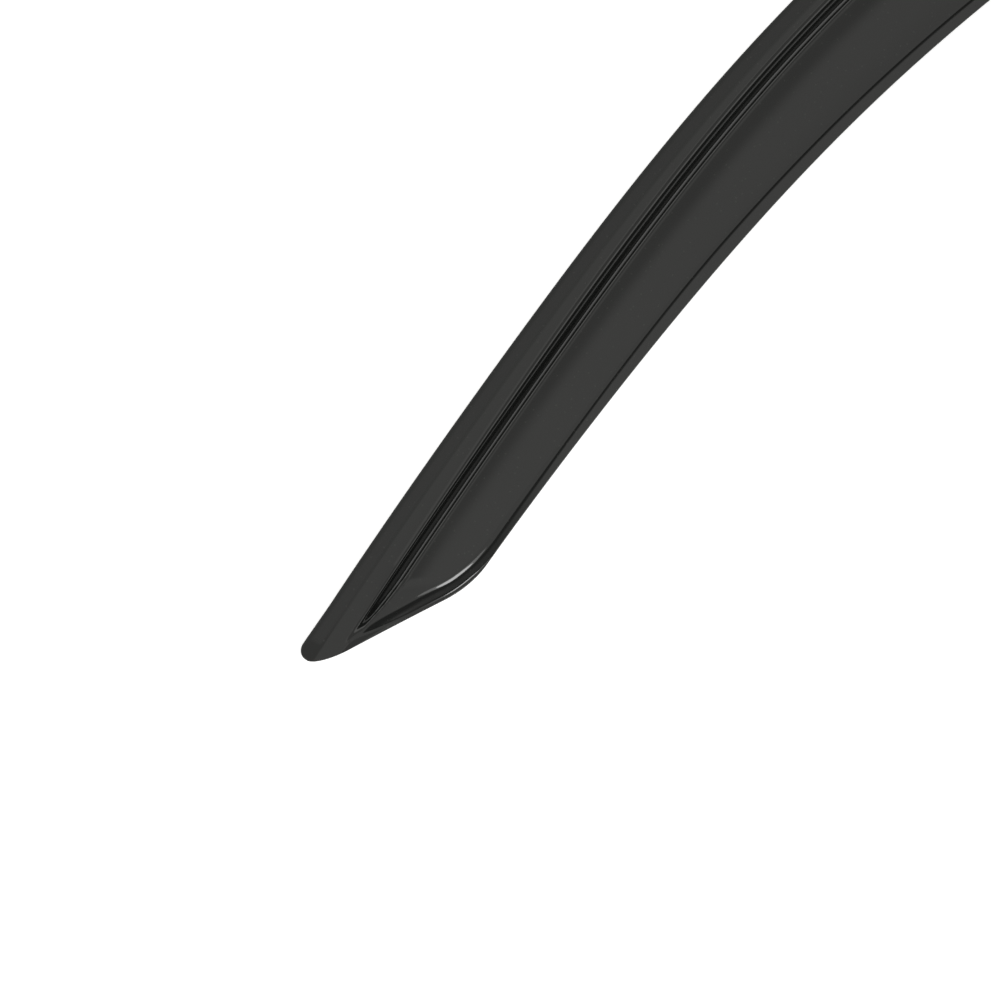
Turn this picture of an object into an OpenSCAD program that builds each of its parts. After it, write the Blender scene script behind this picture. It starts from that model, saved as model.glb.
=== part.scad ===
// Window rain deflector for a front side door, in millimetres.
// One thermoformed sheet of smoked acrylic. Its outer edge is a flat flange that is taped to
// the door frame, and inside the flange the sheet steps up into a raised, crowned face. The
// pointed front end is trimmed along a slanting line, and the long free edge is rolled down.
// The part lies on its tape with the visible face up. +X runs from the tip to the rear end,
// +Y towards the outer edge, and the origin is at the middle of the footprint.

/* [Plan] */
// Length of the outer edge, along its curve
edge_len = 920; // [780:10:1080]
// Radius of the outer edge at the tip
tip_r = 2600; // [2000:50:3500]
// Distance over which the curl at the tip fades
tip_fade = 155; // [120:5:200]
// Radius of the outer edge along the windscreen pillar
pillar_r = 5000; // [3800:100:6500]
// Length of the stretch along the pillar
pillar_len = 70; // [50:5:100]
// Length over which the pillar stretch turns into the bend
bend_lead = 237; // [190:1:290]
// Radius of the outer edge at the bend, above the mirror
bend_r = 1130; // [900:10:1400]
// Length of the bend
bend_len = 190; // [150:5:235]
// Length over which the bend runs out along the roof
bend_out = 150; // [120:5:190]
// Radius of the outer edge along the roof
roof_r = 2600; // [2100:50:3400]
// Width of the part just behind the slanting trim
front_w = 62; // [54:1:72]
// Width of the part at the rear
rear_w = 83; // [72:1:94]
// Distance from the tip at which the part starts to widen
widen_from = 42; // [30:1:55]
// Length over which it widens
widen_len = 725; // [580:5:880]

/* [Front end] */
// Width at which the slanting trim meets the nose
nose_w = 13.6; // [11:0.1:16.5]
// How far the nose's rounding reaches along the outer edge
nose_outer_len = 7; // [5.5:0.1:8.5]
// How far the nose's rounding reaches along the slanting trim
nose_inner_len = 18.5; // [15:0.5:22]
// Distance of the nose's foremost point from the outer edge's curve
nose_tip_at = 6; // [5:0.1:7.1]
// Width of the blunt tip there
nose_tip_w = 1; // [0.8:0.1:1.2]
// How far the nose flares out beyond the outer edge's curve
nose_flare = 0.8; // [0.4:0.1:1.2]
// Distance over which that flare fades
nose_flare_len = 38; // [30:1:46]
// Angle between the slanting trim and the outer edge
trim_angle = 28.5; // [25:0.5:34]
// Depth of the rounding where the slanting trim meets the long free edge
corner_blend = 8.5; // [6:0.5:12]

/* [Rear end] */
// Width of the flat flange at the rear end
end_flange_w = 19; // [15:0.5:23]
// Angle of the wall that closes the rear end
end_wall_angle = 37; // [30:1:45]
// Size of the cut across the rear corner on the free side
end_cut = 8; // [6:0.5:10]
// How far the rear flange draws in beside the end wall
end_waist = 4; // [3:0.5:5]
// Length over which it draws in
end_waist_len = 42; // [34:1:52]
// Radius of the outer rear corner
end_corner_r = 3; // [2:0.5:4]

/* [Section] */
// Thickness of the sheet
sheet_t = 2; // [1.6:0.1:2.5]
// Height of the raised face over the flange
face_h = 10.5; // [9.5:0.5:12]
// Distance from the outer edge to the top of the face's crown
crown_at = 29.5; // [26:0.5:33]
// Radius of the crown across the face
crown_r = 400; // [320:10:520]
// Width of the flat outer strip of the flange, up to its crease
strip_w = 10; // [8:0.5:12]
// Angle by which the flange tilts up inside the crease
crease_angle = 3; // [1.5:0.5:5]
// Distance from the outer edge to the foot of the upper wall, at the tip
foot_front = 21.4; // [19:0.1:24]
// The same distance from the bend rearwards
foot_rear = 16.9; // [15.5:0.1:19]
// Length over which the foot moves outwards
foot_shift_len = 620; // [500:10:740]
// Angle of the upper wall
wall_angle = 64; // [55:1:67]
// Inside radius of the sheet at the upper crest
crest_inside_r = 0.6; // [0.4:0.1:1.2]
// Radius of the hollow at the foot of the upper wall, at the tip
foot_r_front = 1.8; // [1.5:0.1:2.4]
// The same radius from the bend rearwards
foot_r_rear = 3.9; // [3:0.1:4.6]
// Distance from the tip at which the face starts to rise, beside the upper wall
ramp_from = 25; // [21:0.5:29]
// How far that start moves back for each millimetre inwards
ramp_lean = 0.7; // [0.5:0.05:0.9]
// Angle at which it rises there
ramp_angle = 30; // [26:1:35]
// Radius at which the rise turns into the crowned face
ramp_r = 84; // [70:1:100]

/* [Free edge] */
// Width of the lip along the slanting trim, up to the foot of the lower wall
lip_w = 2.3; // [1.9:0.1:3]
// How much wider the lip is where the channel beside it starts
lip_flare = 1.5; // [1.1:0.1:2]
// Angle of the lower wall along the slanting trim
low_wall_angle = 40; // [35:1:45]
// Angle of the rolled edge from the bend rearwards
roll_angle = 47; // [42:1:52]
// Length behind the corner over which the lower wall steepens to that angle
roll_len = 130; // [100:5:160]
// Height of the free edge over the flange, just behind the corner
edge_lift_front = 5.1; // [4.3:0.1:5.9]
// The same height from the bend rearwards
edge_lift_rear = 1.2; // [0.8:0.1:1.8]
// Length behind the corner over which the edge comes down to that height
edge_drop_len = 260; // [210:10:310]
// Inside radius of the sheet at the lower crest, along the slanting trim
low_crest_inside_front = 3.3; // [2.6:0.1:4]
// The same radius from the bend rearwards
low_crest_inside_rear = 1.2; // [0.8:0.1:2]
// Radius of the hollow at the foot of the lower wall
low_foot_r = 2.2; // [2:0.1:3]
// Bevel that breaks the trimmed edges
rim = 0.5; // [0.3:0.1:0.7]

/* [Tape] */
// Distance of the tape from the trimmed edges
tape_inset = 1.5; // [1:0.1:2]
// Distance from the tip at which the tape starts
tape_from = 10; // [8:0.5:13]
// Thickness of the foam tape
tape_t = 1.1; // [0.8:0.1:1.6]
// Thickness of the release liner on the tape
liner_t = 0.15; // [0.1:0.05:0.3]
// Space between the end strip of tape and the edge strip
strip_gap = 1.5; // [1:0.1:2]

/* [Hidden] */

function ease(x) = let (u = min(1, max(0, x))) u*u*(3 - 2*u);
function mix(a, b, u) = a + (b - a)*u;
// The lower, or the higher, of two surfaces, blended over k where they meet
function lower(a, b, k) = min(a, b) - pow(max(k - abs(a - b), 0), 2)/(4*k);
function higher(a, b, k) = -lower(-a, -b, k);
// The blend that gives a fillet of radius r beside a wall of slope m
function blend_for(r, m) = r*m*m/2;

// Outer edge: the curvature runs straight from one stretch's value to the next
pillar_at = tip_fade;
lead_at = pillar_at + pillar_len;
bend_at = lead_at + bend_lead;
bend_end = bend_at + bend_len;
roof_at = bend_end + bend_out;
curvature = [[0, 1/tip_r], [pillar_at, 1/pillar_r], [lead_at, 1/pillar_r],
             [bend_at, 1/bend_r], [bend_end, 1/bend_r], [roof_at, 1/roof_r]];
step = 1;
// [distance, heading, x, y] along the outer edge, from the tip
walk = [for (s = 0, a = 0, x = 0, y = 0;
             s <= edge_len + step;
             a = a - lookup(s + step/2, curvature)*step*180/PI,
             x = x + cos(a)*step,
             y = y + sin(a)*step,
             s = s + step) [s, a, x, y]];
headings = [for (w = walk) [w[0], w[1]]];
walk_x = [for (w = walk) [w[0], w[2]]];
walk_y = [for (w = walk) [w[0], w[3]]];
chord = atan2(lookup(edge_len, walk_y), lookup(edge_len, walk_x));
function turned(p) = [p[0]*cos(chord) + p[1]*sin(chord), p[1]*cos(chord) - p[0]*sin(chord)];
// The point at distance s along the outer edge and t inwards from it
function plan(s, t) = let (a = lookup(s, headings))
    turned([lookup(s, walk_x) + t*sin(a), lookup(s, walk_y) - t*cos(a)]);

// Outline: how far the outer and the free edge lie from the outer edge's curve
// A quarter of an ellipse: how far a corner is drawn in at distance d before its end
function rounding(d, reach, depth) = depth*(1 - sqrt(1 - pow(max(0, 1 - max(0, d)/reach), 2)));
function width(s) = mix(front_w, rear_w, ease((s - widen_from)/widen_len));
function outer_at(s) = rounding(s, nose_outer_len, nose_tip_at - nose_tip_w/2 + nose_flare)
    + rounding(edge_len - s, end_corner_r, end_corner_r)
    - nose_flare*(1 - ease(s/nose_flare_len));
function inner_at(s) = let (left = edge_len - s)
    lower(nose_w + s*tan(trim_angle), width(s), corner_blend)
    - rounding(s, nose_inner_len, nose_w - nose_tip_at - nose_tip_w/2)
    - end_waist*ease(1 - left/end_waist_len)
    - max(0, end_cut - left);
// Share of the way from the slanting trim into the long free edge
corner_at = (front_w - nose_w)/tan(trim_angle);
function behind_corner(s) = ease((s - corner_at)/(2*corner_blend/tan(trim_angle)));
// One along the part, falling to zero at the rear flange
function clear_of_end(s) = ease((edge_len - s - end_flange_w)/end_waist_len);

// Section: the heights of the walls, and of the face between them
wall_m = tan(wall_angle);
end_m = tan(end_wall_angle);
function foot_at(s) = mix(foot_front, foot_rear, ease(s/foot_shift_len));
function free_side(s) = behind_corner(s)*clear_of_end(s);
function rearwards(s) = ease((s - corner_at)/roll_len);
function low_m(s) = tan(mix(low_wall_angle, roll_angle, rearwards(s)));
// The lip beside the lower wall's foot: its width, and how high it stands over the flange
channel_at = corner_at/3;
function lip_at(s) = (lip_w + lip_flare*ease(2 - s/channel_at))*(1 - free_side(s));
function lip_height(s) = mix(edge_lift_front, edge_lift_rear, ease((s - corner_at)/edge_drop_len))
    *ease(s/corner_at)*clear_of_end(s);
// Across the slanting trim, distances square to the edge are shorter than along t
function squareness(s) = let (d = 1, k = (inner_at(s + d) - inner_at(s - d))/(2*d))
    1/sqrt(1 + k*k);
slack = nose_inner_len;
function low_reach(s) = let (u = min(max(s, slack), edge_len - end_cut - slack)) squareness(u);
ramp_m = tan(ramp_angle);
function face_height(s, t) =
    lower(face_h - pow(t - crown_at, 2)/(2*crown_r),
          ramp_m*(s - ramp_from - ramp_lean*(t - foot_at(s))), blend_for(ramp_r, ramp_m));
crest_k = blend_for(sheet_t + crest_inside_r, wall_m);
function low_crest_k(s) = blend_for(
    sheet_t + mix(low_crest_inside_front, low_crest_inside_rear, rearwards(s)), low_m(s));
// Share by which the hollow at the lower wall's foot fades behind the corner, where no lip is left
edge_fade = 0.95;
function raised(s, t) =
    let (up = wall_m*(t - foot_at(s)),
         lip = lip_height(s),
         low = lip + low_m(s)*((inner_at(s) - t)*low_reach(s) - lip_at(s)),
         back = end_m*(edge_len - s - end_flange_w),
         roof = lower(up, face_height(s, t), crest_k),
         rolled = lower(roof, low, low_crest_k(s)),
         up_k = blend_for(mix(foot_r_front, foot_r_rear, ease(2*s/foot_shift_len)), wall_m),
         low_k = blend_for(low_foot_r, low_m(s))*(1 - edge_fade*free_side(s)),
         foot_k = mix(low_k, up_k, ease(0.5 + (low - up)/face_h)),
         floor = lip*ease((t - foot_at(s))/max(inner_at(s) - foot_at(s), 1)))
    higher(lower(rolled, back, crest_k), floor, foot_k);
function flange_height(s, t) =
    tan(crease_angle)*higher(min(t, foot_at(s)) - strip_w, 0, rim);
function top_height(s, t) = raised(s, t) + flange_height(s, t);
// The underside lies one sheet thickness below, measured square to the surface
function bottom_height(s, t) =
    let (d = 0.1,
         gs = (top_height(s + d, t) - top_height(s - d, t))/(2*d),
         gt = (top_height(s, t + d) - top_height(s, t - d))/(2*d))
    top_height(s, t) - sheet_t*sqrt(1 + gs*gs + gt*gt);

// Lines along the part, each at least a small gap beyond the one before it
line_gap = 0.35;
function spaced(list) = [for (i = 0, v = list[0];
                              i < len(list);
                              i = i + 1, v = i < len(list) ? max(list[i], v + line_gap) : v) v];
// Across a wall: its lower fillet, even parts from its foot to its crest, and its upper fillet
function wall_lines(foot, foot_reach, crest, crest_reach, parts) =
    concat([foot - foot_reach, foot - foot_reach/2],
           [for (i = [0:parts]) mix(foot, crest, i/parts)],
           [crest + crest_reach/2, crest + crest_reach]);
face_margin = 5;
crest_reach = crest_k/wall_m;
crest_run = face_h/wall_m;
function outer_lines(s) =
    let (foot = foot_at(s), crest = foot + crest_run,
         foot_reach = mix(foot_r_front, foot_r_rear, ease(2*s/foot_shift_len))*wall_m/2)
    spaced(concat([0, rim, tape_inset, strip_w, strip_w + strip_gap],
                  wall_lines(foot, foot_reach, crest, crest_reach, 4),
                  [crest + crest_reach + face_margin]));
function inner_lines(s) =
    let (m = low_m(s), foot = lip_at(s), crest = foot + (face_h - lip_height(s))/m,
         reach = low_crest_k(s)/m)
    [for (v = spaced(concat([0, rim, tape_inset], wall_lines(foot, low_foot_r*m/2, crest, reach, 3),
                            [crest + reach + face_margin]))) v/low_reach(s)];
fixed_lines = 5;
mid_lines = 3;
// Distances from the outer edge of every line at s; the narrow front end squeezes them
function lines_at(s) =
    let (a = outer_at(s), b = inner_at(s), room = b - a,
         out = outer_lines(s), inn = inner_lines(s),
         no = len(out), ni = len(inn),
         held = min(out[fixed_lines - 1], room*0.6),
         hold = held/out[fixed_lines - 1],
         want = out[no - 1] - out[fixed_lines - 1] + inn[ni - 1],
         squeeze = min(1, (room - held)*0.96/want),
         reach = held + (out[no - 1] - out[fixed_lines - 1])*squeeze,
         back = inn[ni - 1]*squeeze)
    concat([for (i = [0:no - 1]) a + (i < fixed_lines ? out[i]*hold
                                      : held + (out[i] - out[fixed_lines - 1])*squeeze)],
           [for (i = [1:mid_lines]) mix(a + reach, b - back, i/(mid_lines + 1))],
           [for (i = [ni - 1:-1:0]) b - inn[i]*squeeze]);

// Stations along the part: closer at the nose, the slanting trim and the rear end
nose_steps = 5;
trim_steps = 25;
long_steps = 44;
end_steps = 9;
trim_end = corner_at + 2*corner_blend/tan(trim_angle);
tape_to = edge_len - tape_inset;
end_strip_at = edge_len - strip_w;
end_zone = edge_len - end_flange_w - end_waist_len;
function spread(a, b, n) = [for (i = [0:n - 1]) mix(a, b, i/n)];
stations = concat(
    [for (i = [0:nose_steps]) nose_outer_len*(1 - cos(90*i/nose_steps))],
    spread(tape_from, trim_end, trim_steps),
    spread(trim_end, end_zone, long_steps),
    spread(end_zone, end_strip_at, end_steps),
    [end_strip_at, edge_len - end_cut, tape_to, edge_len - rim, edge_len]);
tape_first = nose_steps + 1;
tape_last = len(stations) - 3;
end_first = len(stations) - 5;
lines = [for (s = stations) lines_at(s)];
line_count = len(lines[0]);

// Bevel at the outline, over its last half millimetre
function bevel(s, t, i) =
    rim*(1 - min(1, min(t - lines[i][0], lines[i][line_count - 1] - t, s, edge_len - s)/rim));
// Origin: the middle of the footprint, on the plane that the liner rests on
tape_depth = tape_t + liner_t;
outline = [for (i = [0:len(stations) - 1]) each [for (j = [0, line_count - 1])
    plan(stations[i], lines[i][j])]];
xs = [for (p = outline) p[0]];
ys = [for (p = outline) p[1]];
middle = [min(xs) + max(xs), min(ys) + max(ys)]/2;
function grid(upper) = [for (i = [0:len(stations) - 1]) let (s = stations[i])
    [for (t = lines[i]) let (p = plan(s, t) - middle) [p[0], p[1], tape_depth + sheet_t + (
        upper ? top_height(s, t) - bevel(s, t, i) : bottom_height(s, t) + bevel(s, t, i))]]];
top = grid(true);
bottom = grid(false);

// A closed skin over a row of loops. A loop runs inwards along its upper side and back along its
// lower one, and the quads of both are split along the same diagonal, so that skins match.
module skin(loops) {
    n = len(loops);
    m = len(loops[0]);
    sides = [for (i = [0:n - 2]) for (k = [0:m - 1])
        let (a = i*m + k, b = i*m + (k + 1) % m, c = b + m, d = a + m)
        each k < m/2 ? [[a, c, b], [a, d, c]] : [[a, d, b], [b, d, c]]];
    front = [for (k = [0:m/2 - 2]) each [[k, m - 2 - k, m - 1 - k], [k, k + 1, m - 2 - k]]];
    rear = [for (f = front) [f[2], f[1], f[0]] + (n - 1)*m*[1, 1, 1]];
    polyhedron([for (loop = loops) each loop], concat(sides, front, rear), convexity = 6);
}

// A strip under the flange, from one line and station to another, between two depths
module strip(i1, i2, j1, j2, from, to) {
    skin([for (i = [i1:i2]) concat([for (j = [j1:j2]) bottom[i][j] - [0, 0, from]],
                                   [for (j = [j2:-1:j1]) bottom[i][j] - [0, 0, to]])]);
}

module deflector_shell() {
    color([0.16, 0.17, 0.17])
        skin([for (i = [0:len(stations) - 1])
            concat(top[i], [for (j = [line_count - 1:-1:0]) bottom[i][j]])]);
}

module edge_tape() {
    color([0.25, 0.25, 0.26]) strip(tape_first, tape_last, 2, 3, 0, tape_t);
}

module end_tape() {
    color([0.25, 0.25, 0.26]) strip(end_first, tape_last, 4, line_count - 3, 0, tape_t);
}

module edge_liner() {
    color([0.66, 0.13, 0.1]) strip(tape_first, tape_last, 2, 3, tape_t, tape_depth);
}

module end_liner() {
    color([0.66, 0.13, 0.1])
        strip(end_first, tape_last, 4, line_count - 3, tape_t, tape_depth);
}

deflector_shell();
edge_tape();
end_tape();
edge_liner();
end_liner();
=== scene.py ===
from math import atan2, cos, pi, radians, sin, tan

import bpy
import numpy as np
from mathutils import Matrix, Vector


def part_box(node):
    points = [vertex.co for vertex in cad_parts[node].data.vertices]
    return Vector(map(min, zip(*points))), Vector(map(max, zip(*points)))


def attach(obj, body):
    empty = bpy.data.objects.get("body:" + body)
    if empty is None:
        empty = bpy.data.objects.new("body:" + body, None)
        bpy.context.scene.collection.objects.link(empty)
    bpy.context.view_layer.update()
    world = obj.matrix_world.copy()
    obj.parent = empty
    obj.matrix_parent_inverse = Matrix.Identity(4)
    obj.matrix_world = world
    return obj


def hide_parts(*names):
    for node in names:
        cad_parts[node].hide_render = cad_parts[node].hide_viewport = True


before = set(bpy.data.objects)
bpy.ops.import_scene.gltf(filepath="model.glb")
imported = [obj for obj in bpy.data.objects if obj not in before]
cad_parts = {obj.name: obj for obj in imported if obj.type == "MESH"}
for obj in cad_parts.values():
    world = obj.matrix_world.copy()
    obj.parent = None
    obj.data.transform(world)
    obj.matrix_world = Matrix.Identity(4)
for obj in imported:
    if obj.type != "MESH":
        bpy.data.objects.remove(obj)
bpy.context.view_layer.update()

# The deflector itself: one sheet of smoked acrylic, heated, drawn over a mould and trimmed. Its
# flat outer flange is taped to the door frame; inside it the sheet steps up to a crowned face, and
# the front end is trimmed along a slant, with a channel and a narrow lip beside the trim.
# Sizes are in millimetres: s runs from the tip along the outer edge, and t inwards from it.
mm = 0.001
edge_length = 920
# distance from the tip and the outer edge's radius there
edge_stretches = [(0, 2600), (155, 5000), (225, 5000), (462, 1130), (652, 1130), (802, 2600)]
front_width = 62
rear_width = 83
widens_from = 42
widens_over = 725

nose_width = 13.6
nose_outer_length = 7
nose_inner_length = 18.5
nose_tip_at = 6
nose_tip_width = 1
nose_flare = 0.8
nose_flare_length = 38
trim_slope = tan(radians(28.5))
trim_corner_blend = 8.5

end_flange = 19
end_wall_slope = tan(radians(37))
end_cut = 8
end_waist = 4
end_waist_length = 42
end_corner_radius = 3

sheet = 2
face_rise = 10.5
crown_at = 29.5
crown_radius = 400
strip_width = 10
crease_slope = tan(radians(3))
foot_at_tip = 21.4
foot_at_bend = 16.9
foot_shifts_over = 620
wall_slope = tan(radians(64))
crest_inside_radius = 0.6
foot_radius_at_tip = 1.8
foot_radius_at_bend = 3.9
ramp_from = 25
ramp_lean = 0.7
ramp_slope = tan(radians(30))
ramp_crest_radius = 84

lip_width = 2.3
lip_flare = 1.5
trim_wall_angle = 40
rolled_edge_angle = 44.5
edge_rolls_over = 130
edge_lift_at_corner = 5.1
edge_lift_at_rear = 1.2
edge_drops_over = 260
low_crest_inside_at_trim = 3.3
low_crest_inside_at_rear = 1.2
low_foot_radius = 2.2
low_foot_lost_when_rolled = 0.95
rim = 0.5

tape_inset = 1.5
tape_width = 8.5
tape_starts = 10
tape_thickness = 1.1
liner_thickness = 0.15


def ease(x):
    u = np.clip(x, 0, 1)
    return u*u*(3 - 2*u)


def mix(a, b, share):
    return a + (b - a)*share


def lower_of(a, b, blend):
    return np.minimum(a, b) - np.maximum(blend - np.abs(a - b), 0)**2/(4*blend)


def higher_of(a, b, blend):
    return -lower_of(-a, -b, blend)


def blend_for(radius, slope):
    """The blend that gives a fillet of this radius beside a wall of this slope."""
    return radius*slope*slope/2


# The outer edge is walked in steps of one millimetre, and its curvature runs straight from one
# stretch's value to the next
steps = np.arange(0, edge_length + 2)
bends = np.interp(steps[:-1] + 0.5,
                  [at for at, radius in edge_stretches],
                  [1/radius for at, radius in edge_stretches])
headings = np.concatenate([[0], -np.cumsum(bends)])
walked_x = np.concatenate([[0], np.cumsum(np.cos(headings[1:]))])
walked_y = np.concatenate([[0], np.cumsum(np.sin(headings[1:]))])
chord = atan2(walked_y[edge_length], walked_x[edge_length])


def plan(s, t):
    """The point of the footprint at s along the outer edge and t inwards from it."""
    heading = np.interp(s, steps, headings)
    x = np.interp(s, steps, walked_x) + t*np.sin(heading)
    y = np.interp(s, steps, walked_y) - t*np.cos(heading)
    return x*cos(chord) + y*sin(chord), y*cos(chord) - x*sin(chord)


def rounding(distance, reach, depth):
    """How far a rounded corner is drawn in at this distance before its end."""
    return depth*(1 - np.sqrt(1 - np.clip(1 - np.maximum(distance, 0)/reach, 0, 1)**2))


def outer_edge(s):
    drawn_in = nose_tip_at - nose_tip_width/2 + nose_flare
    return (rounding(s, nose_outer_length, drawn_in)
            + rounding(edge_length - s, end_corner_radius, end_corner_radius)
            - nose_flare*(1 - ease(s/nose_flare_length)))


def free_edge(s):
    left = edge_length - s
    width = mix(front_width, rear_width, ease((s - widens_from)/widens_over))
    drawn_in = nose_width - nose_tip_at - nose_tip_width/2
    return (lower_of(nose_width + s*trim_slope, width, trim_corner_blend)
            - rounding(s, nose_inner_length, drawn_in)
            - end_waist*ease(1 - left/end_waist_length)
            - np.maximum(0, end_cut - left))


trim_corner = (front_width - nose_width)/trim_slope
behind_corner_over = 2*trim_corner_blend/trim_slope
crest_blend = blend_for(sheet + crest_inside_radius, wall_slope)


def clear_of_end(s):
    return ease((edge_length - s - end_flange)/end_waist_length)


def rolled_share(s):
    return ease((s - trim_corner)/behind_corner_over)*clear_of_end(s)


def towards_rear(s):
    return ease((s - trim_corner)/edge_rolls_over)


def low_slope(s):
    return np.tan(np.radians(mix(trim_wall_angle, rolled_edge_angle, towards_rear(s))))


def lip(s):
    """The lip's width: flared over the trim's first third, and plain again after its second."""
    return (lip_width + lip_flare*ease(2 - 3*s/trim_corner))*(1 - rolled_share(s))


def lip_height(s):
    dropped = ease((s - trim_corner)/edge_drops_over)
    return mix(edge_lift_at_corner, edge_lift_at_rear, dropped)*ease(s/trim_corner)*clear_of_end(s)


def squareness(s):
    """What turns a distance across the part into one square to its free edge."""
    at = np.clip(s, nose_inner_length, edge_length - end_cut - nose_inner_length)
    slant = (free_edge(at + 1) - free_edge(at - 1))/2
    return 1/np.sqrt(1 + slant**2)


def wall_foot(s):
    return mix(foot_at_tip, foot_at_bend, ease(s/foot_shifts_over))


def foot_radius(s):
    return mix(foot_radius_at_tip, foot_radius_at_bend, ease(2*s/foot_shifts_over))


def low_crest_blend(s):
    inside = mix(low_crest_inside_at_trim, low_crest_inside_at_rear, towards_rear(s))
    return blend_for(sheet + inside, low_slope(s))


def top_height(s, t):
    """The visible side's height over the flange: the lowest of the walls, ramp and crowned face
    above the flange and the lip."""
    foot = wall_foot(s)
    edge = free_edge(s)
    upper_wall = wall_slope*(t - foot)
    lip_level = lip_height(s)
    lower_wall = lip_level + low_slope(s)*((edge - t)*squareness(s) - lip(s))
    ramp = ramp_slope*(s - ramp_from - ramp_lean*(t - foot))
    end_wall = end_wall_slope*(edge_length - s - end_flange)
    crown = face_rise - (t - crown_at)**2/(2*crown_radius)
    face = lower_of(crown, ramp, blend_for(ramp_crest_radius, ramp_slope))
    roof = lower_of(upper_wall, face, crest_blend)
    rolled = lower_of(roof, lower_wall, low_crest_blend(s))
    low_foot_blend = (blend_for(low_foot_radius, low_slope(s))
                      * (1 - low_foot_lost_when_rolled*rolled_share(s)))
    foot_blend = mix(low_foot_blend, blend_for(foot_radius(s), wall_slope),
                     ease(0.5 + (lower_wall - upper_wall)/face_rise))
    floor_level = lip_level*ease((t - foot)/np.maximum(edge - foot, 1))
    raised = higher_of(lower_of(rolled, end_wall, crest_blend), floor_level, foot_blend)
    return raised + crease_slope*higher_of(np.minimum(t, foot) - strip_width, 0, rim)


def underside_height(s, t):
    """The back's height, which keeps the sheet's thickness square to its surface."""
    nudge = 0.1
    along = (top_height(s + nudge, t) - top_height(s - nudge, t))/(2*nudge)
    across = (top_height(s, t + nudge) - top_height(s, t - nudge))/(2*nudge)
    return top_height(s, t) - sheet*np.sqrt(1 + along**2 + across**2)


# Lines along the sheet lie closest at its fillets; stations across it at the nose and the ends
rim_parts = 4
upper_wall_parts = 4
lower_wall_parts = 3
face_parts = 4
between_lines = 4
line_gap = 0.35
crease_gap = 1.5
past_crest = 5
most_for_flange = 0.6
most_for_rest = 0.96


def split(knots, parts):
    pieces = [mix(knots[..., [k]], knots[..., [k + 1]], np.arange(parts)/parts)
              for k in range(knots.shape[-1] - 1)]
    return np.concatenate([*pieces, knots[..., [-1]]], axis=-1)


def round_steps(reach, count):
    return reach*(1 - np.cos(np.linspace(0, pi/2, count + 1)))


def spaced(knots):
    knots = np.array(knots)
    for k in range(1, len(knots)):
        knots[k] = max(knots[k], knots[k - 1] + line_gap)
    return knots


def along_wall(foot, foot_reach, crest, crest_reach, parts):
    return [foot - foot_reach, foot - foot_reach/2, *np.linspace(foot, crest, parts + 1),
            crest + crest_reach/2, crest + crest_reach]


def lines_across(s):
    """Where the lines along the sheet cross the station at s, from the outer to the free edge."""
    outer, inner = float(outer_edge(s)), float(free_edge(s))
    foot, slope = float(wall_foot(s)), float(low_slope(s))
    crest = foot + face_rise/wall_slope
    crest_reach = crest_blend/wall_slope
    foot_reach = float(foot_radius(s))*wall_slope/2
    fixed = [rim, tape_inset, strip_width, strip_width + crease_gap]
    from_outer = spaced([*fixed,
                         *along_wall(foot, foot_reach, crest, crest_reach, upper_wall_parts),
                         crest + crest_reach + past_crest])
    low_foot = float(lip(s))
    low_foot_reach = low_foot_radius*slope/2
    low_crest = low_foot + (face_rise - float(lip_height(s)))/slope
    crest_reach = float(low_crest_blend(s))/slope
    from_inner = spaced([rim, tape_inset,
                         *along_wall(low_foot, low_foot_reach, low_crest, crest_reach,
                                     lower_wall_parts),
                         low_crest + crest_reach + past_crest])/float(squareness(s))
    # Where the part is too narrow for them all, the lines move closer together
    last_fixed = len(fixed) - 1
    room = inner - outer - 2*rim
    held = min(from_outer[last_fixed] - rim, room*most_for_flange)
    wanted = from_outer[-1] - from_outer[last_fixed] + from_inner[-1]
    squeeze = min(1, (room - held)*most_for_rest/wanted)
    flange = (from_outer[:last_fixed + 1] - rim)*held/(from_outer[last_fixed] - rim)
    wall = held + (from_outer[last_fixed + 1:] - from_outer[last_fixed])*squeeze
    outer_side = outer + rim + np.concatenate([flange, wall])
    inner_side = inner - rim - (from_inner - from_inner[0])[::-1]*squeeze
    middle = mix(outer_side[-1], inner_side[0], np.arange(1, face_parts)/face_parts)
    body = split(np.concatenate([outer_side, middle, inner_side]), between_lines)
    edge_steps = round_steps(rim, rim_parts)[:-1]
    return np.concatenate([outer + edge_steps, body, (inner - edge_steps)[::-1]])


nose_parts = 14
trim_from = nose_outer_length + 1
trim_step = 1.3
trim_end = trim_corner + behind_corner_over
face_step = 4.4
end_zone = edge_length - end_flange - end_waist_length
end_step = 1.5
cut_from = edge_length - end_cut
cut_parts = 6
stations = np.concatenate([
    round_steps(nose_outer_length, nose_parts),
    np.arange(trim_from, trim_end, trim_step),
    np.arange(trim_end, end_zone, face_step),
    np.arange(end_zone, cut_from - 1, end_step),
    cut_from + np.linspace(0, end_cut - rim, cut_parts + 1),
    edge_length - round_steps(rim, rim_parts)[:-1][::-1]])
s = np.repeat(stations[:, None], len(lines_across(0)), axis=1)
t = np.array([lines_across(at) for at in stations])

# The trimmed edges are rounded over, and the footprint is fitted to the solid's
inset = np.minimum(np.minimum(t - t[:, :1], t[:, -1:] - t), np.minimum(s, edge_length - s))
bevel = rim*(1 - np.sqrt(np.clip(1 - (1 - np.clip(inset/rim, 0, 1))**2, 0, 1)))
x, y = plan(s, t)
cad_low, cad_high = np.array(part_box("deflector_shell"))/mm
x = np.interp(x, (x.min(), x.max()), (cad_low[0], cad_high[0]))
y = np.interp(y, (y.min(), y.max()), (cad_low[1], cad_high[1]))
flange_top = tape_thickness + liner_thickness + sheet
upper = np.stack([x, y, flange_top + top_height(s, t) - bevel], axis=-1)*mm
under = np.stack([x, y, flange_top + underside_height(s, t) + bevel], axis=-1)*mm


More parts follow.
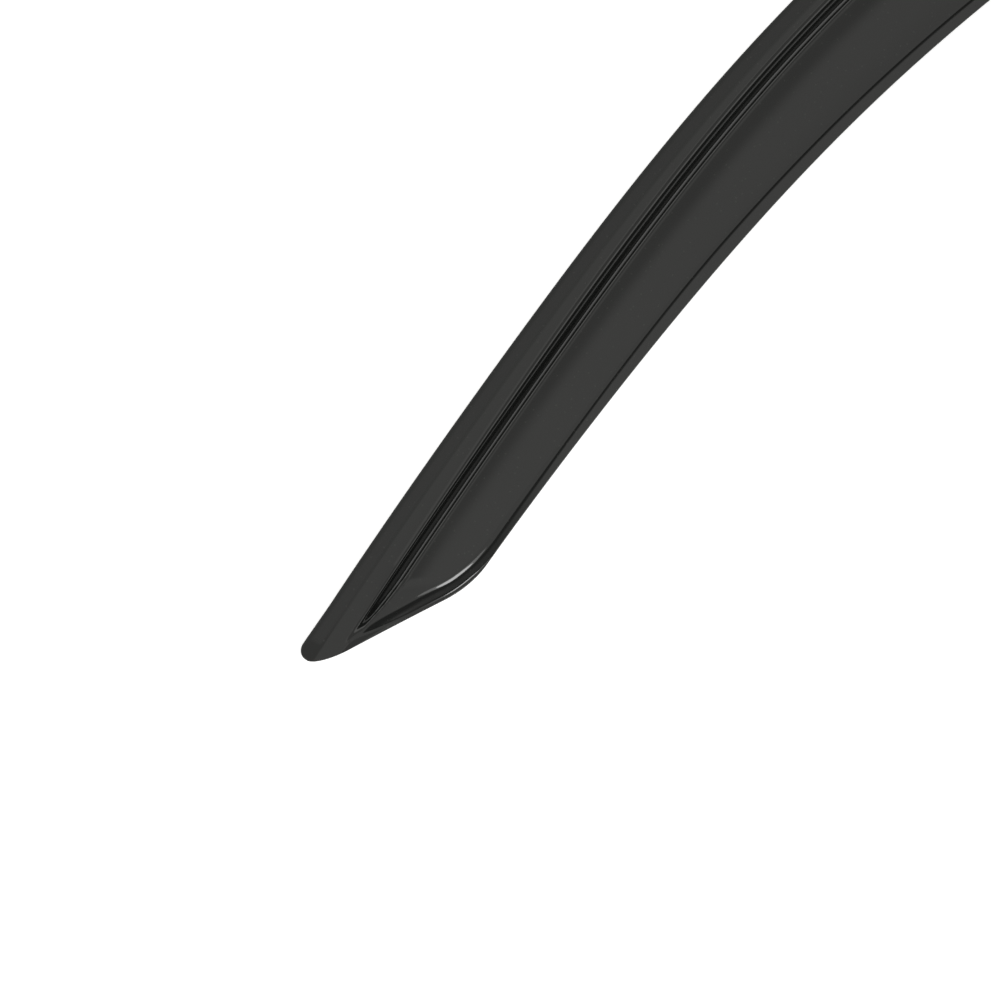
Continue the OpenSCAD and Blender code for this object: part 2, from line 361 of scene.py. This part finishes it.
def skin(name, upper, under):
    """A closed mesh between two grids of points that share their outline."""
    rows, columns = upper.shape[:2]
    loops = np.concatenate([upper, under[:, ::-1]], axis=1)
    around_loop = 2*columns
    quads = []
    for i in range(rows - 1):
        for k in range(around_loop):
            a, b = i*around_loop + k, i*around_loop + (k + 1) % around_loop
            quads.append((a, a + around_loop, b + around_loop, b))
    last = (rows - 1)*around_loop
    for k in range(columns - 1):
        back = around_loop - 1 - k
        quads.append((k, k + 1, back - 1, back))
        quads.append((last + back, last + back - 1, last + k + 1, last + k))
    mesh = bpy.data.meshes.new(name)
    mesh.from_pydata(loops.reshape(-1, 3).tolist(), [], quads)
    mesh.shade_smooth()
    mesh.validate()
    piece = bpy.data.objects.new(name, mesh)
    bpy.context.scene.collection.objects.link(piece)
    return piece


deflector = skin("deflector", upper, under)

# The material needs to know where the sheet was sawn, and where the tape backs its visible side,
# over which the flange is painted paler as painted light
sawn_reach = 1.6*rim
tape_side_blend = 1.5
tape_start_blend = 4
trimmed_edge = 1 - np.clip(inset/sawn_reach, 0, 1)
tape_from = outer_edge(s) + tape_inset
over_tape = (ease((t - tape_from)/tape_side_blend)
             * ease((tape_from + tape_width - t)/tape_side_blend)
             * ease((s - tape_starts)/tape_start_blend))
for name, top_values, under_values in (("trimmed_edge", trimmed_edge, trimmed_edge),
                                       ("over_tape", over_tape, 0*over_tape)):
    grid = np.concatenate([top_values, under_values[:, ::-1]], axis=1)
    deflector.data.attributes.new(name, "FLOAT", "POINT").data.foreach_set("value", grid.ravel())


def feed(tree, node, inputs):
    """Give each named input of a node its value, or the output that feeds it."""
    for name, source in inputs.items():
        if isinstance(source, bpy.types.NodeSocket):
            tree.links.new(source, node.inputs[name])
        else:
            node.inputs[name].default_value = source


def put(tree, kind, inputs, **settings):
    """Put a new shader node in a tree, with its settings and inputs."""
    node = tree.nodes.new("ShaderNode" + kind)
    for name, setting in settings.items():
        setattr(node, name, setting)
    feed(tree, node, inputs)
    return node


# Handling marks that every surface here has: sparse settled dust, and soft patches where the
# surface is a little less clean. Each material gives its own colour and amounts.
handling = bpy.data.node_groups.new("handling", "ShaderNodeTree")
for name, direction, kind in (("Clean Color", "INPUT", "NodeSocketColor"),
                              ("Clean Roughness", "INPUT", "NodeSocketFloat"),
                              ("Dust Amount", "INPUT", "NodeSocketFloat"),
                              ("Smear Amount", "INPUT", "NodeSocketFloat"),
                              ("Color", "OUTPUT", "NodeSocketColor"),
                              ("Roughness", "OUTPUT", "NodeSocketFloat")):
    handling.interface.new_socket(name, in_out=direction, socket_type=kind)
given = handling.nodes.new("NodeGroupInput").outputs
result = handling.nodes.new("NodeGroupOutput")
dust_color = (0.35, 0.34, 0.32, 1)
places = put(handling, "TexCoord", {}).outputs["Object"]
specks = put(handling, "TexVoronoi", {"Vector": places, "Scale": 240})
speck_size = put(handling, "MapRange", {"Value": specks.outputs["Distance"],
                                        "From Min": 0.16, "From Max": 0.08})
dust = put(handling, "Math", {0: speck_size.outputs["Result"], 1: given["Dust Amount"]},
           operation="MULTIPLY")
dusted = put(handling, "Mix", {"Factor": dust.outputs[0], "A": given["Clean Color"],
                               "B": dust_color}, data_type="RGBA")
patches = put(handling, "TexNoise", {"Vector": places, "Scale": 35, "Detail": 4})
smeared = put(handling, "Math", {0: patches.outputs["Fac"], 1: given["Smear Amount"],
                                 2: given["Clean Roughness"]}, operation="MULTIPLY_ADD")
feed(handling, result, {"Color": dusted.outputs["Result"], "Roughness": smeared.outputs[0]})


def new_material(name):
    """A material with its node tree, its surface shader, and the piece's own coordinates."""
    material = bpy.data.materials.new(name)
    material.use_nodes = True
    tree = material.node_tree
    places = put(tree, "TexCoord", {}).outputs["Object"]
    return material, tree, tree.nodes["Principled BSDF"], places


def two_colors(tree, share, low_color, high_color, high_at=1):
    """A colour that runs from one to another as share rises from 0 to high_at."""
    ramp = put(tree, "ValToRGB", {"Fac": share})
    low, high = ramp.color_ramp.elements
    low.color = low_color
    high.color = high_color
    high.position = high_at
    return ramp.outputs["Color"]


# Smoked acrylic: near-opaque, glossy, a little uneven in its tint, with painted light over the
# tape's strip, where it is drawn paler to stand for light through the tinted sheet, and duller
# where it was sawn, with the faint waviness that forming over a mould leaves
tint_thin = (0.0100, 0.0104, 0.0098, 1)
tint_deep = (0.0072, 0.0075, 0.0074, 1)
# painted light: the paler colour drawn over the tape's strip, standing for light through the
# tinted sheet
painted_light_over_tape = (0.0165, 0.0167, 0.0164, 1)
sawn_color = (0.016, 0.017, 0.016, 1)
sawn_roughness = 0.3
smoked_acrylic, tree, gloss, places = new_material("smoked_acrylic")
cloud = put(tree, "TexNoise", {"Vector": places, "Scale": 14, "Detail": 3})
tint = two_colors(tree, cloud.outputs["Fac"], tint_deep, tint_thin)
backed = put(tree, "Attribute", {}, attribute_name="over_tape")
# the painted light is mixed in over the tape's strip
tint_with_painted_light = put(tree, "Mix", {"Factor": backed.outputs["Fac"], "A": tint,
                                "B": painted_light_over_tape}, data_type="RGBA")
sawn = put(tree, "Attribute", {}, attribute_name="trimmed_edge")
sawn_tint = put(tree, "Mix", {"Factor": sawn.outputs["Fac"],
                              "A": tint_with_painted_light.outputs["Result"],
                              "B": sawn_color}, data_type="RGBA")
handled = put(tree, "Group", {"Clean Color": sawn_tint.outputs["Result"],
                              "Clean Roughness": 0.035, "Dust Amount": 0.03,
                              "Smear Amount": 0.04}, node_tree=handling)
satin = put(tree, "Math", {0: sawn.outputs["Fac"], 1: sawn_roughness,
                           2: handled.outputs["Roughness"]}, operation="MULTIPLY_ADD")
forming = put(tree, "TexNoise", {"Vector": places, "Scale": 24, "Detail": 1})
waviness = put(tree, "Bump", {"Height": forming.outputs["Fac"], "Strength": 1,
                              "Distance": 0.03*mm})
feed(tree, gloss, {"Base Color": handled.outputs["Color"], "Roughness": satin.outputs[0],
                   "IOR": 1.49, "Normal": waviness.outputs["Normal"]})
deflector.data.materials.append(smoked_acrylic)
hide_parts("deflector_shell")
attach(deflector, "root")

# The tape under the flange: closed-cell acrylic foam, near black, sticky on both faces. It was
# rolled on along the outer edge, with a short strip across the rear flange.
cell_color = (0.020, 0.020, 0.022, 1)
cell_wall_color = (0.085, 0.085, 0.090, 1)
tape_foam, tree, foam, places = new_material("tape_foam")
cells = put(tree, "TexVoronoi", {"Vector": places, "Scale": 3200}).outputs["Distance"]
foam_color = two_colors(tree, cells, cell_color, cell_wall_color, high_at=0.7)
handled = put(tree, "Group", {"Clean Color": foam_color, "Clean Roughness": 0.78,
                              "Dust Amount": 0.12, "Smear Amount": 0.12}, node_tree=handling)
open_cells = put(tree, "Bump", {"Height": cells, "Strength": 0.7, "Distance": 0.12*mm})
feed(tree, foam, {"Base Color": handled.outputs["Color"],
                  "Roughness": handled.outputs["Roughness"],
                  "Normal": open_cells.outputs["Normal"]})


def refinish(strip, material):
    """Give a strip of the solid model another material."""
    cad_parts[strip].data.materials.clear()
    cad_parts[strip].data.materials.append(material)


refinish("edge_tape", tape_foam)
refinish("end_tape", tape_foam)

# The liner on the tape's free face: thin red release film, smooth and faintly wrinkled where it
# went round the bend. It is peeled off when the part is fitted.
thick_dye = (0.40, 0.018, 0.012, 1)
thin_dye = (0.58, 0.042, 0.028, 1)
liner_film, tree, film, places = new_material("liner_film")
dye = put(tree, "TexNoise", {"Vector": places, "Scale": 60, "Detail": 3})
film_color = two_colors(tree, dye.outputs["Fac"], thick_dye, thin_dye)
handled = put(tree, "Group", {"Clean Color": film_color, "Clean Roughness": 0.2,
                              "Dust Amount": 0.1, "Smear Amount": 0.15}, node_tree=handling)
wrinkles = put(tree, "TexNoise", {"Vector": places, "Scale": 300, "Detail": 2})
puckered = put(tree, "Bump", {"Height": wrinkles.outputs["Fac"], "Strength": 0.5,
                              "Distance": 0.1*mm})
feed(tree, film, {"Base Color": handled.outputs["Color"],
                  "Roughness": handled.outputs["Roughness"],
                  "Normal": puckered.outputs["Normal"]})
refinish("edge_liner", liner_film)
refinish("end_liner", liner_film)

# The floor: a plain white studio sweep, far larger than the part. It shows white to the camera and
# in reflections, unless these graze it, and keeps the part's soft shadow. It lies a hair under the
# liner, so that the two faces don't share a plane.
floor_size = 30
floor_gap = 0.1*mm
floor_glow = 0.65
corner = floor_size/2
mesh = bpy.data.meshes.new("floor")
mesh.from_pydata([(-corner, -corner, 0), (corner, -corner, 0), (corner, corner, 0),
                  (-corner, corner, 0)], [], [(0, 1, 2, 3)])
floor = bpy.data.objects.new("floor", mesh)
floor.location.z = -floor_gap
bpy.context.scene.collection.objects.link(floor)
floor_paint = bpy.data.materials.new("floor_paint")
floor_paint.use_nodes = True
tree = floor_paint.node_tree
rays = put(tree, "LightPath", {}).outputs
slant = put(tree, "LayerWeight", {})
steepness = put(tree, "MapRange", {"Value": slant.outputs["Facing"],
                                   "From Min": 0.91, "From Max": 0.81})
mirrored = put(tree, "Math", {0: rays["Is Glossy Ray"], 1: steepness.outputs["Result"]},
               operation="MULTIPLY")
seen = put(tree, "Math", {0: rays["Is Camera Ray"], 1: mirrored.outputs[0]},
           operation="MAXIMUM")
glow = put(tree, "Math", {0: seen.outputs[0], 1: floor_glow}, operation="MULTIPLY")
feed(tree, tree.nodes["Principled BSDF"], {
    "Base Color": (0.72, 0.72, 0.72, 1), "Roughness": 1, "Specular IOR Level": 0,
    "Emission Color": (1, 1, 1, 1), "Emission Strength": glow.outputs[0]})
floor.data.materials.append(floor_paint)

# Studio light, all of it soft. It varies only with the angle across the part, from the free edge's
# side at -90 degrees, through straight up, to the outer edge's side at 90: a broad bank, narrow
# bands overhead, a dimmer stretch and a bright strip, with dark gaps low on both sides.
bank_stops = [(-90, 0.85), (-86, 0.8), (-81, 0.3), (-74, 0.1), (-60, 0.1), (-54, 0.9),
              (-11, 0.87), (-7, 0.97), (-2.4, 0.98), (-0.6, 0.57), (1.5, 0.59), (3, 0.9),
              (6.5, 0.92), (8, 1.25), (10, 1.2), (11.5, 0.58), (44, 0.6), (50, 1.7),
              (62, 1.7), (67, 0.04), (90, 0.03)]
brightest = max(strength for angle, strength in bank_stops)
room = bpy.data.worlds.new("room")
room.use_nodes = True
tree = room.node_tree
directions = put(tree, "TexCoord", {})
axes = put(tree, "SeparateXYZ", {0: directions.outputs["Generated"]})
across_part = put(tree, "Math", {0: axes.outputs["Y"], 1: axes.outputs["Z"]},
                  operation="ARCTAN2")
turned_share = put(tree, "MapRange", {"Value": across_part.outputs[0],
                                      "From Min": -pi/2, "From Max": pi/2})
banks = put(tree, "ValToRGB", {"Fac": turned_share.outputs["Result"]})
for angle, strength in bank_stops[1:-1]:
    banks.color_ramp.elements.new((angle + 90)/180)
for stop, (angle, strength) in zip(banks.color_ramp.elements, bank_stops):
    level = strength/brightest
    stop.color = (level, level, level, 1)
brightness = put(tree, "Math", {0: banks.outputs["Color"], 1: brightest}, operation="MULTIPLY")
feed(tree, tree.nodes["Background"], {"Color": (1, 1, 0.97, 1),
                                      "Strength": brightness.outputs[0]})
bpy.context.scene.world = room

# A small round softbox with a wider, dimmer one round it stands beside the trim's corner, and
# glints along its crest and its lip
softbox_side = radians(-92)
softbox_distance = 0.35
lit_x, lit_y, lit_z = -0.400, -0.037, 0.010
for name, height, diameter, watts in (("softbox", 44, 0.13, 0.35),
                                      ("softbox_surround", 46, 0.20, 0.20)):
    softbox_height = radians(height)
    reach = softbox_distance*cos(softbox_height)
    softbox = bpy.data.lights.new(name, "AREA")
    softbox.shape = "DISK"
    softbox.size = diameter
    softbox.energy = watts
    softbox_stand = bpy.data.objects.new(name, softbox)
    softbox_stand.location = (lit_x + reach*cos(softbox_side), lit_y + reach*sin(softbox_side),
                              lit_z + softbox_distance*sin(softbox_height))
    softbox_stand.rotation_euler = (pi/2 - softbox_height, 0, softbox_side + pi/2)
    softbox_stand.visible_camera = False
    bpy.context.scene.collection.objects.link(softbox_stand)

# The camera looks straight down on the front half of the part, from far enough to flatten it
view_x, view_y, view_z = -0.3072, -0.0159, 0.008
view_width = 0.580
view_turn = radians(-44.645)
camera_height = 8
camera = bpy.data.cameras.new("camera")
camera.sensor_width = 36
camera.lens = camera.sensor_width*camera_height/view_width
camera.clip_end = 100
camera_stand = bpy.data.objects.new("camera", camera)
camera_stand.location = (view_x, view_y, camera_height + view_z)
camera_stand.rotation_euler = (0, 0, view_turn)
bpy.context.scene.collection.objects.link(camera_stand)
bpy.context.scene.camera = camera_stand
bpy.context.scene.view_settings.view_transform = "Standard"
